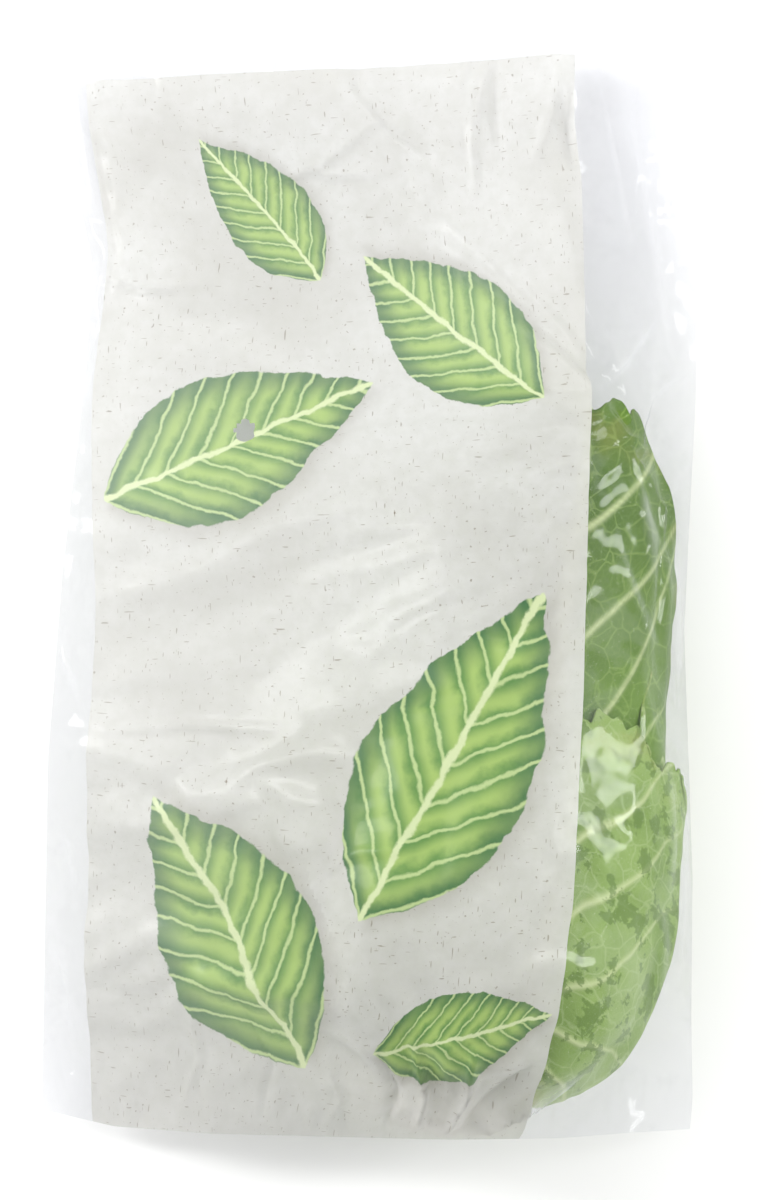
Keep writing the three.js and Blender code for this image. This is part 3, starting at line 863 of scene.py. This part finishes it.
def printLeaf(tree, ground):
    local = tree.node("Attribute", {"attribute_name": "sprig"}, {}, output="Vector")
    run, off, _ = tree.split(local)
    wobble = tree.noise(local, 6.0, 4.0) - 0.5
    patch = tree.noise(local, 9.0, 5.0, 0.6)
    run = run + 0.5 + wobble * 0.05
    off = off + (patch - 0.5) * 0.06
    side = abs(off)
    half = run * (1 - run) * (1.3 - run * 0.6).math("MAXIMUM", 0.1) * 0.98
    inside = half - side - wobble * 0.03
    shadow = (half + 0.05 - abs(off + 0.035)).between(0.0, 0.11)
    ground = tree.blend(shadow * 0.32, ground, rgb(116, 108, 92))
    ribs = (run * 8.5 - side * 9.0).math("PINGPONG", 0.5)
    colour = tree.blend((ribs * 1.5 + patch - 0.35).between(0.1, 0.95), rgb(84, 132, 66), rgb(160, 188, 104))
    colour = tree.blend(inside.between(0.11, 0.0) * 0.75, colour, rgb(40, 92, 64))
    colour = tree.blend(ribs.between(0.1, 0.02) * 0.8, colour, rgb(196, 214, 152))
    colour = tree.blend(side.between(0.014, 0.005), colour, rgb(208, 220, 172))
    return tree.blend(inside.between(0.0, 0.006), ground, colour)


def printedFilm():
    tree = Tree("printedFilmSheet")
    flat = tree.flat()
    blotch = tree.noise(flat, 14.0, 4.0, 0.6)
    fine = tree.noise(flat, 260.0, 2.0, 0.6)
    lower = tree.split(flat)[1].between(0.26, 0.02)
    colour = tree.blend(blotch.between(0.35, 0.65), rgb(197, 196, 192), rgb(211, 211, 209))
    colour = tree.blend(lower * blotch.between(0.42, 0.62) * 0.2, colour, rgb(190, 186, 174))
    colour = tree.blend(fine.between(0.3, 0.7) * 0.3, colour, rgb(186, 186, 178))
    specks = tree.noise(flat, 900.0, 2.0, 0.4).between(0.69, 0.73)
    rising = tree.moved(flat, turn=(0, 0, 0.6), scale=(1, 0.16, 1))
    falling = tree.moved(flat, turn=(0, 0, -0.9), scale=(0.14, 1, 1))
    specks = specks + tree.noise(rising, 1500.0, 1.0).between(0.71, 0.75)
    specks = specks + tree.noise(falling, 1400.0, 1.0).between(0.72, 0.76)
    colour = tree.blend(specks * 0.6, colour, rgb(104, 84, 62))
    colour = printLeaf(tree, colour)
    bump = tree.bump(tree.noise(flat, 40.0, 2.0), 0.2, 0.0006)
    ink = tree.surface({"Base Color": colour, "Roughness": 0.42, "Specular IOR Level": 0.35,
                        "Coat Weight": 0.12, "Coat Roughness": 0.12, "Normal": bump})
    glow = tree.node("BsdfTranslucent", {}, {"Color": (0.9, 0.9, 0.88, 1)})
    return tree.done(tree.node("MixShader", {}, {0: 0.28, 1: ink, 2: glow}))


for number, (leaf, piece) in enumerate(zip(wrapperLeaves, cabbage)):
    skin = leafMaterial(f"wrapperLeafSkin{number + 1}", leaf["pale"], number * 1.7)
    finishPiece(piece, skin, "leaf", leafNodes[number])
finishPiece(head, headMaterial(), "head_leaf", "inner_head")
finishPiece(stem, stemMaterial(), "cut_stem", "stem_stump")
clear = clearFilm()
finishPiece(frontWeb, [clear, printedFilm()], "printed_film", "bag_front_web")
finishPiece(backWeb, clear, "clear_film", "bag_back_web")
print("materials made")

# ---- floor, light ----
bpy.ops.object.select_all(action="DESELECT")
bpy.ops.mesh.primitive_plane_add(size=8, location=(0, 0, -0.0002))
floorPiece = bpy.context.object
floorPiece.name = "paleFloor"
floorTree = Tree("paleFloorPaint")
floorPaint = floorTree.surface({"Base Color": (0.97, 0.97, 0.97, 1), "Roughness": 0.9})
floorPiece.data.materials.append(floorTree.done(floorPaint))

world = bpy.data.worlds.new("studioWorld")
scene.world = world
world.use_nodes = True
world.node_tree.nodes["Background"].inputs["Color"].default_value = (1, 1, 1, 1)
world.node_tree.nodes["Background"].inputs["Strength"].default_value = 0.87


def softbox(name, place, aim, size, power):
    bpy.ops.object.light_add(type="AREA", location=place)
    lamp = bpy.context.object
    lamp.name = name
    lamp.data.shape = "RECTANGLE"
    lamp.data.size, lamp.data.size_y = size
    lamp.data.energy = power
    towards = np.array(aim) - np.array(place)
    lamp.rotation_euler = Vector(towards).to_track_quat("-Z", "Y").to_euler()


softbox("boxLeft", (-1.1, 0.5, 0.9), (0, 0, 0), (0.3, 0.9), 12)
softbox("boxRight", (1.0, 0.2, 0.9), (0, 0, 0), (0.2, 0.9), 6)
softbox("boxTop", (0.1, 1.2, 0.9), (0, 0, 0), (0.9, 0.2), 4)
scene.view_settings.view_transform = "Standard"
scene.view_settings.look = "None"
